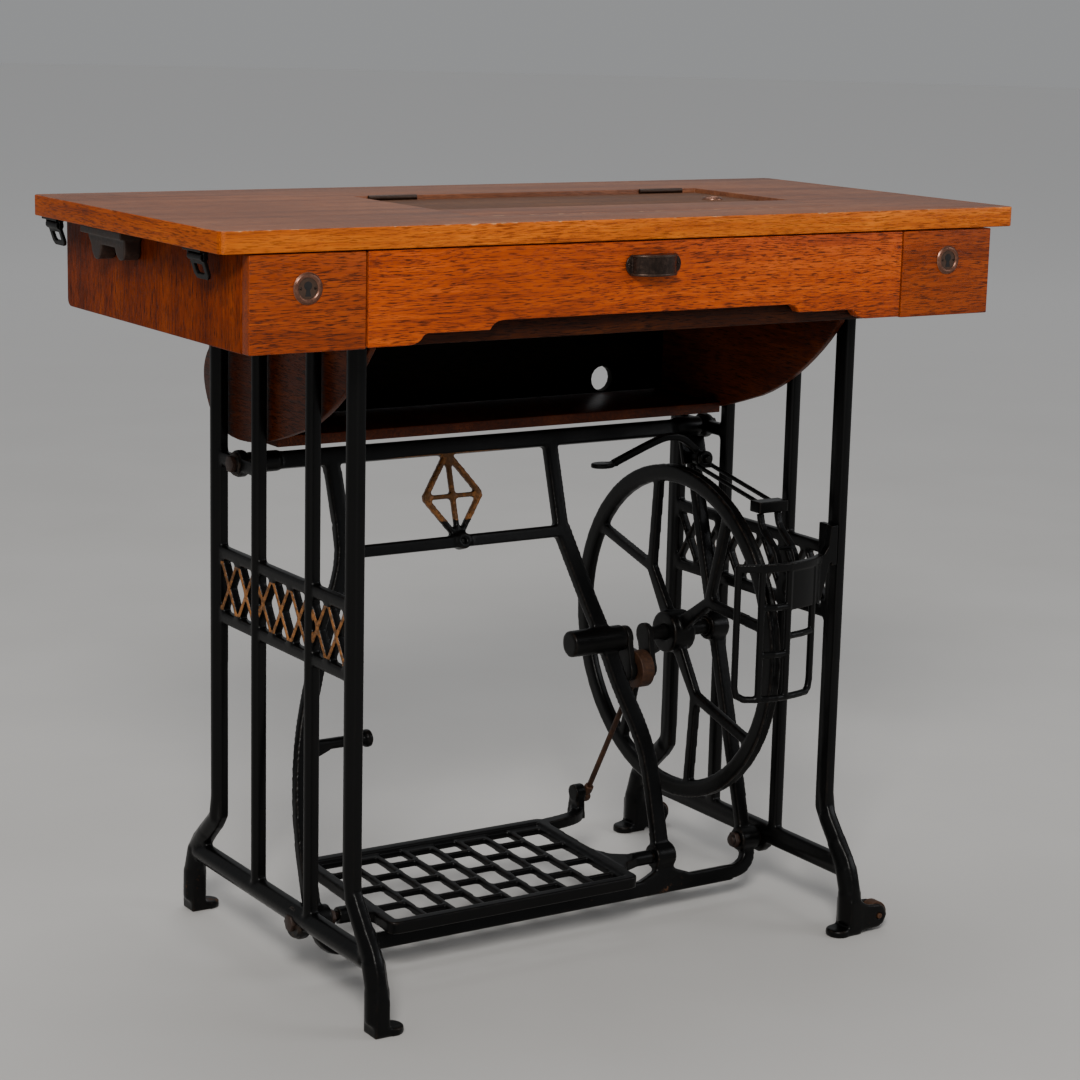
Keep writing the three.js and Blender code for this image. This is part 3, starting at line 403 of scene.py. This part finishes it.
def skin(bm, rings, sides):
    """Joins each ring of corners to the next. A ring may be a single corner."""
    for low, high in zip(rings, rings[1:]):
        for i in range(sides):
            j = (i + 1) % sides
            corners = [low[i % len(low)], low[j % len(low)], high[j % len(high)], high[i % len(high)]]
            corners = list(dict.fromkeys(corners))
            if len(corners) > 2:
                bm.faces.new(corners)


def turned(bm, centre, axis, profile, sides=40):
    """Adds a turned shape: profile is (radius, place along the axis) pairs in millimetres."""
    side, up = basis(axis)
    rings = []
    for radius, place in profile:
        middle = centre + axis * place * MM
        points = circle(middle, side, up, radius, sides) if radius else [middle]
        rings.append([bm.verts.new(p) for p in points])
    skin(bm, rings, sides)


def tube(bm, points, radius, sides=10):
    """Adds a round bar of so many millimetres along a line of points."""
    rings = []
    side = basis((points[1] - points[0]).normalized())[0]
    for i, point in enumerate(points):
        ahead = (points[min(i + 1, len(points) - 1)] - points[max(i - 1, 0)]).normalized()
        side = (side - ahead * side.dot(ahead)).normalized()
        ring = circle(point, side, ahead.cross(side), radius, sides)
        rings.append([bm.verts.new(p) for p in ring])
    skin(bm, rings, sides)
    bm.faces.new(rings[0][::-1])
    bm.faces.new(rings[-1])


def prism(bm, outline, direction):
    """Adds a closed prism: an outline of points, pushed along a direction."""
    low = [bm.verts.new(p) for p in outline]
    high = [bm.verts.new(p + direction) for p in outline]
    bm.faces.new(low[::-1])
    bm.faces.new(high)
    for i in range(len(low)):
        j = (i + 1) % len(low)
        bm.faces.new([low[i], low[j], high[j], high[i]])
    bmesh.ops.recalc_face_normals(bm, faces=bm.faces)


def screw(name, centre, axis, radius, body):
    """A round-head bronze screw. Its slot is turned any way, but always the same for a name."""
    bm = bmesh.new()
    sunk, rise, steps = -0.6, 0.45 * radius, 6
    dome = [(radius * math.cos(a), rise * math.sin(a))
            for a in (math.pi / 2 * i / steps for i in range(steps))]
    turned(bm, centre, axis, [(0, sunk), (radius, sunk), *dome, (0, rise)], 24)
    turn = random.Random(name).uniform(0, math.pi)
    side, up = basis(axis)
    across = side * math.cos(turn) + up * math.sin(turn)
    half_slot, slot_depth = 0.22 * radius * MM, 0.3 * radius * MM
    for v in bm.verts:
        reach = v.co - centre
        if abs(reach.dot(across)) < half_slot and reach.dot(axis) > 0:
            v.co -= axis * min(reach.dot(axis), slot_depth)
    bmesh.ops.recalc_face_normals(bm, faces=bm.faces)
    piece_from(name, bm, body, "bronze", 35)


# ---------- the top ----------
def edging():
    """Four mitred strips round the slab, a hair proud of it, with rounded corners."""
    low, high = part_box("table_top")
    proud, over, width, corner = 0.3 * MM, 0.15 * MM, 6.5 * MM, 7 * MM
    gap, rounding, worn_edge = 0.12 * MM, 1.1 * MM, 0.9 * MM
    spans = {"front": (low.y, -1), "back": (high.y, 1), "left": (low.x, -1), "right": (high.x, 1)}
    for side, (at, way) in spans.items():
        level = side in ("front", "back")
        reach = (high.x if level else high.y) + proud
        edge = at + way * proud
        arc = [math.pi / 4 * i / 6 for i in range(7)]
        outer = [(reach - corner + corner * math.sin(a), edge - way * corner * (1 - math.cos(a)))
                 for a in arc]
        inner = (reach - width, edge - way * width)
        outline = [(-u + gap, v) for u, v in reversed(outer)] + [(u - gap, v) for u, v in outer]
        outline += [(inner[0] - gap, inner[1]), (-inner[0] + gap, inner[1])]
        points = [Vector((u, v, 0) if level else (v, u, 0)) for u, v in outline]
        bm = bmesh.new()
        base = Z * (low.z - over)
        prism(bm, [p + base for p in points], Z * (high.z - low.z + 2 * over))
        rims = [e for e in bm.edges if len(e.link_faces) == 2 and e.calc_face_angle(0) > 1
                and abs(e.verts[0].co.z - e.verts[1].co.z) < 1e-6]
        bmesh.ops.bevel(bm, geom=rims, offset=rounding, segments=3, profile=0.5, affect="EDGES")
        # The left and right strips take the darker edging tones: painted shade on the faces turned from
        # the light.
        tones, worn = (EDGE_TONES, 0.7) if level else (SHADED_EDGE_TONES, 0.3)
        FINISH[f"edge_{side}"] = wood(
            f"edge_{side}_wood", 0 if level else 1, tones, shift=11.0 + at, pores=0.8,
            shine=0.2 if level else 0.08, worn=worn, worn_above=high.z - worn_edge)
        strip = piece_from(f"edge_strip_{side}", bm, "stand", f"edge_{side}")
        second_finish(strip, "top", lambda normal: normal.z > 0.95)


joinery("table_top", 0.8, "top")
joinery("machine_lid", 0.9, "lid")
joinery("front_leaf", 0.8, "leaf")
edging()
for hinge in ("lid_hinge_left", "lid_hinge_right", "leaf_hinge"):
    joinery(hinge, 0.25, "brown")


# ---------- the box and the well ----------
joinery("centre_flap", 1.2, "apron", 3)
for side in ("left", "right"):
    joinery(f"{side}_drawer_front", 1.2, "block", 3)
    joinery(f"{side}_side_panel", 1.5, "side", 3)
    joinery(f"{side}_drawer_tray", 0.8, "inside")
    joinery(f"{side}_divider", 0.6, "inside")
    joinery(f"{side}_drawer_floor", 0.6, "inside")
    joinery(f"well_{side}_end", 1.5, "well", 3)
joinery("back_panel", 1.0, "back")
# The rail under the flap takes very dark tones: painted shade under the flap.
joinery("front_rail", 0.8, "rail")
# The well's ends, bottom board and back board take darker walnut tones than the box: painted shade under
# the box.
joinery("well_bottom_board", 0.8, "well")
# The back board of the well is near black on its inside face, painted shade of the deep well, and
# outside it has the well's walnut tones.
second_finish(joinery("well_back_board", 0.8, "well_inside_shade"), "well_back", lambda normal: normal.y > 0.5)


# Profiles of a key plate as (share of its radius, height in millimetres).
PLATE_DISC = ((0, -0.2), (0, 0.5), (0.70, 0.5), (0.72, -0.2), (0, -0.2))
PLATE_RING = ((0.66, -0.2), (0.66, 1.0), (0.72, 1.9), (0.80, 2.3), (0.88, 2.0), (0.95, 1.2),
              (1.0, 0.5), (1.0, -0.2), (0.66, -0.2))


def key_plate(name, centre, axis, radius, body):
    """A raised ring round a sunk disc, with two small screws beside a keyhole. The keyhole is painted
    shade: a thin near-black plate on the disc, not a hole.
    """
    parts = (("disc", PLATE_DISC, 48, "bronze", ()), ("ring", PLATE_RING, 56, "copper", [name]))
    for part, profile, sides, finish, replaced in parts:
        bm = bmesh.new()
        turned(bm, centre, axis, [(radius * share, height) for share, height in profile], sides)
        bmesh.ops.recalc_face_normals(bm, faces=bm.faces)
        piece_from(f"{name}_{part}", bm, body, finish, replaced=replaced)
    up = Z if abs(axis.z) < 0.5 else Y
    side = up.cross(axis)
    hole, thick = radius * 0.27, 0.35
    arc = [math.radians(-65 + 310 * i / 24) for i in range(25)]
    outline = [side * hole * math.cos(a) + up * hole * math.sin(a) for a in arc]
    outline += [side * s * hole * 0.75 - up * hole * 2.4 for s in (-1, 1)]
    # The keyhole is a thin near-black plate laid on the disc: painted shade where a hole would be.
    raised = centre + axis * thick * MM + up * radius * 0.16 * MM
    bm = bmesh.new()
    prism(bm, [raised + p * MM for p in outline], axis * thick * MM)
    piece_from(f"{name}_keyhole", bm, body, "dark")
    for i, way in enumerate((-1, 1)):
        place = centre + (side * way * radius * 0.5) * MM + axis * 0.5 * MM
        screw(f"{name}_screw_{i}", place, axis, radius * 0.1, body)


for side in ("left", "right"):
    low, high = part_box(f"{side}_key_plate")
    face = Vector(((low.x + high.x) / 2, high.y, (low.z + high.z) / 2))
    key_plate(f"{side}_key_plate", face, -Y, (high.x - low.x) / 2 / MM, f"{side}_drawer")
low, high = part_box("lid_key_plate")
key_plate("lid_key_plate", Vector(((low.x + high.x) / 2, (low.y + high.y) / 2, low.z)), Z,
          (high.x - low.x) / 2 / MM, "lid")


def cup_pull():
    """The pull with a bead along its top and bottom rims, and a screw in each ear."""
    casting("flap_pull", 0.55, 3, 0.5, "bronze")
    low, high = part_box("flap_pull")
    back, front = high.y - 0.4 * MM, low.y + 0.6 * MM
    inset, bead = 1.2 * MM, 1.5
    turns = [math.pi * i / 24 for i in range(25)]
    for name, z, half in (("top", high.z - inset, 24.6), ("bottom", low.z + inset, 24.8)):
        bow = [Vector((half * MM * math.cos(a), back - (back - front) * math.sin(a), z))
               for a in turns]
        bm = bmesh.new()
        tube(bm, bow, bead)
        bmesh.ops.recalc_face_normals(bm, faces=bm.faces)
        piece_from(f"flap_pull_bead_{name}", bm, "flap", "bronze")
    ear, ear_y, middle = 4.6 * MM, high.y - 1.7 * MM, (low.z + high.z) / 2
    for i, x in enumerate((low.x + ear, high.x - ear)):
        screw(f"flap_pull_screw_{i}", Vector((x, ear_y, middle)), -Y, 2.4, "flap")


cup_pull()


# ---------- castings ----------
# Measures of a side frame and of the brace, in millimetres.
BARS = (-68, 47)
BAR_HALF = 7.5
BAR_HEIGHTS = (75, 320, 560, 745)
FRAME_X = 288
FRAME_HALF = 5.5
BAND_Y, BAND_Z = (-140, 126), (349, 399)
# The middle of each leg of a side frame as (y, z), from the top to the toe.
LEGS = (
    ((-152, 745), (-152, 400), (-152, 145), (-157, 120), (-176, 95), (-194, 70), (-202, 45), (-203, 12)),
    ((138, 745), (138, 400), (138, 145), (143, 120), (168, 97), (192, 72), (201, 45), (202, 12)),
)
# A leg swells towards its toe: from which of its points on, and to what radius.
TOE_SWELLS = ((3, 9.4), (4, 10.6), (5, 11.8), (6, 12.6))
FOOT_RAIL = ((-186, 70), (-60, 70), (60, 70), (184, 70))
LOZENGE_X, LOZENGE_Z = (-86, -10), (431, 500)


def ornament_paint(node):
    """Gold on the outward faces of the lozenges between the two band rails."""
    outward = -1 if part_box(node)[0].x < 0 else 1

    def amount(co, normal):
        y, z = co.y / MM, co.z / MM
        inside = BAND_Z[0] < z < BAND_Z[1] and BAND_Y[0] < y < BAND_Y[1]
        on_bar = any(abs(y - bar) < BAR_HALF for bar in BARS)
        return 1.0 if inside and not on_bar and normal.x * outward > 0.55 else 0.0
    return amount


def brace_paint(co, normal):
    """Gold on the front faces and left edges of the brace's lozenge."""
    left, right = (x * MM for x in LOZENGE_X)
    low, high = (z * MM for z in LOZENGE_Z)
    inside = left < co.x < right and low < co.z < high
    return 1.0 if inside and (normal.y < -0.5 or normal.x < -0.6) else 0.0


def frame_details(side):
    """Half-round ribs on the outer faces of the uprights, the legs and the foot rail."""
    def rib(bm, line, height, radius):
        points = [Vector((side * (FRAME_X + height), y, z)) * MM for y, z in line]
        tube(bm, points, radius, 14)

    def extra(bm):
        for y in BARS:
            rib(bm, [(y, z) for z in BAR_HEIGHTS], 3.2, 6.0)
        for leg in LEGS:
            rib(bm, leg, 2.0, 8.4)
            for first, radius in TOE_SWELLS:
                rib(bm, leg[first:], 0.0, radius)
        rib(bm, FOOT_RAIL, 2.4, 9.2)
        bmesh.ops.recalc_face_normals(bm, faces=bm.faces)
    return extra


for side, way in (("left", -1), ("right", 1)):
    casting(f"{side}_side_frame", 1.7, 8, 0.35, extra=frame_details(way),
            gold=ornament_paint(f"{side}_side_frame"))
casting("centre_brace", 1.7, 7, 0.4, gold=brace_paint)
casting("flywheel", 1.6, 6, 0.45)
casting("treadle", 1.5, 4, 0.45)
casting("dress_guard", 1.0, 2, 0.5)
casting("crankshaft", 0.9, 4, 0.4, "old_iron")
casting("pitman_rod", 0.8, 4, 0.5)
casting("pitman_foot", 0.6, 4, 0.5)
casting("shifter_bracket", 0.9, 4, 0.5)
casting("shifter_lever", 0.9, 5, 0.5)
casting("shifter_yoke", 0.8, 3, 0.5)
casting("belt_block", 0.8, 5, 0.5)
casting("belt_fork", 0.8, 4, 0.5)
casting("lift_handle", 0.9, 5, 0.5, "brown")
for place in ("front", "rear"):
    casting(f"{place}_hasp_bracket", 0.5, 2, 0.5)
    casting(f"{place}_hasp", 0.5, 2, 0.5, "old_iron")
    joinery(f"{place}_roller", 1.2, "rusty", 3)
    joinery(f"{place}_roller_pin", 0.6, "rusty")


def washer(node, way, radius, thick):
    """A domed washer under a bolt head on the outside of a side frame."""
    low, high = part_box(node)
    outside = (FRAME_X + FRAME_HALF) * MM * way
    centre = Vector((outside, (low.y + high.y) / 2, (low.z + high.z) / 2))
    sunk, slope = -0.5, 1.2
    profile = [(0, sunk), (radius, sunk), (radius, thick * 0.5), (radius - slope, thick), (0, thick)]
    bm = bmesh.new()
    turned(bm, centre, X * way, profile)
    bmesh.ops.recalc_face_normals(bm, faces=bm.faces)
    piece_from(f"{node}_washer", bm, "stand", "old_iron")


for side, way in (("left", -1), ("right", 1)):
    washer(f"{side}_foot_bolt", way, 16, 3.4)
    washer(f"{side}_lug_bolt", way, 12, 2.6)
    joinery(f"{side}_lug_bolt", 0.8, "bolt")
    joinery(f"{side}_foot_bolt", 0.8, "bolt")
    joinery(f"{side}_treadle_pivot", 0.6, "bolt")
joinery("crank_bearing", 0.5, "iron")
joinery("wheel_bearing", 0.5, "iron")


# ---------- floor, light and camera ----------
def floor():
    bm = bmesh.new()
    bmesh.ops.create_circle(bm, cap_ends=True, radius=30, segments=64)
    mesh = bpy.data.meshes.new("floor")
    bm.to_mesh(mesh)
    bm.free()
    n = Nodes("floor_paint")
    patch = n.noise((3, 3, 3), detail=4)
    distance = n.add("VectorMath", {0: n.place}, operation="LENGTH").outputs["Value"]
    pale = n.ramp(patch, (0.50, 0.49, 0.475), (0.54, 0.53, 0.515))
    far = n.between(distance, 1.2, 7.0)
    mesh.materials.append(n.finish(Base_Color=n.mix(far, pale, (0.97, 0.96, 0.95)), Roughness=0.9))
    ground = bpy.data.objects.new("floor", mesh)
    bpy.context.scene.collection.objects.link(ground)


def area_light(name, place, target, size, power, colour=(1, 1, 1)):
    data = bpy.data.lights.new(name, "AREA")
    data.shape = "RECTANGLE"
    data.size, data.size_y = size
    data.energy = power
    data.color = colour
    light = bpy.data.objects.new(name, data)
    bpy.context.scene.collection.objects.link(light)
    light.location = place
    light.rotation_euler = (Vector(target) - Vector(place)).to_track_quat("-Z", "Y").to_euler()


def studio():
    world = bpy.data.worlds.new("studio")
    bpy.context.scene.world = world
    world.use_nodes = True
    sky = world.node_tree.nodes["Background"]
    sky.inputs["Color"].default_value = (0.60, 0.61, 0.62, 1)
    sky.inputs["Strength"].default_value = 0.5
    area_light("key", (-2.4, -3.4, 3.4), (0, 0, 0.55), (1.3, 1.3), 190, (1, 0.97, 0.93))
    area_light("fill", (3.2, -2.6, 2.2), (0, 0, 0.5), (1.6, 1.6), 30, (0.95, 0.97, 1))
    area_light("top", (0.3, 1.0, 3.6), (0, 0, 0.4), (2.4, 2.0), 40)


# Angles in degrees, but the roll in radians. The lens is in millimetres.
CAMERA = {"place": (-1.4481, -2.2706, 0.9780), "yaw": 32.79, "down": 11.749, "roll": 0.0235,
          "lens": 87.85}


def camera():
    """Stands at the left front, a little above the top, as the photographer did."""
    yaw, down = math.radians(CAMERA["yaw"]), math.radians(CAMERA["down"])
    ahead = Vector((math.sin(yaw) * math.cos(down), math.cos(yaw) * math.cos(down), -math.sin(down)))
    right = Vector((math.cos(yaw), -math.sin(yaw), 0))
    up = right.cross(ahead)
    roll = CAMERA["roll"]
    right, up = (right * math.cos(roll) + up * math.sin(roll),
                 up * math.cos(roll) - right * math.sin(roll))
    data = bpy.data.cameras.new("camera")
    data.lens = CAMERA["lens"]
    eye = bpy.data.objects.new("camera", data)
    bpy.context.scene.collection.objects.link(eye)
    turn = Matrix((right, up, -ahead)).transposed()
    eye.matrix_world = Matrix.Translation(CAMERA["place"]) @ turn.to_4x4()
    bpy.context.scene.camera = eye


floor()
studio()
camera()
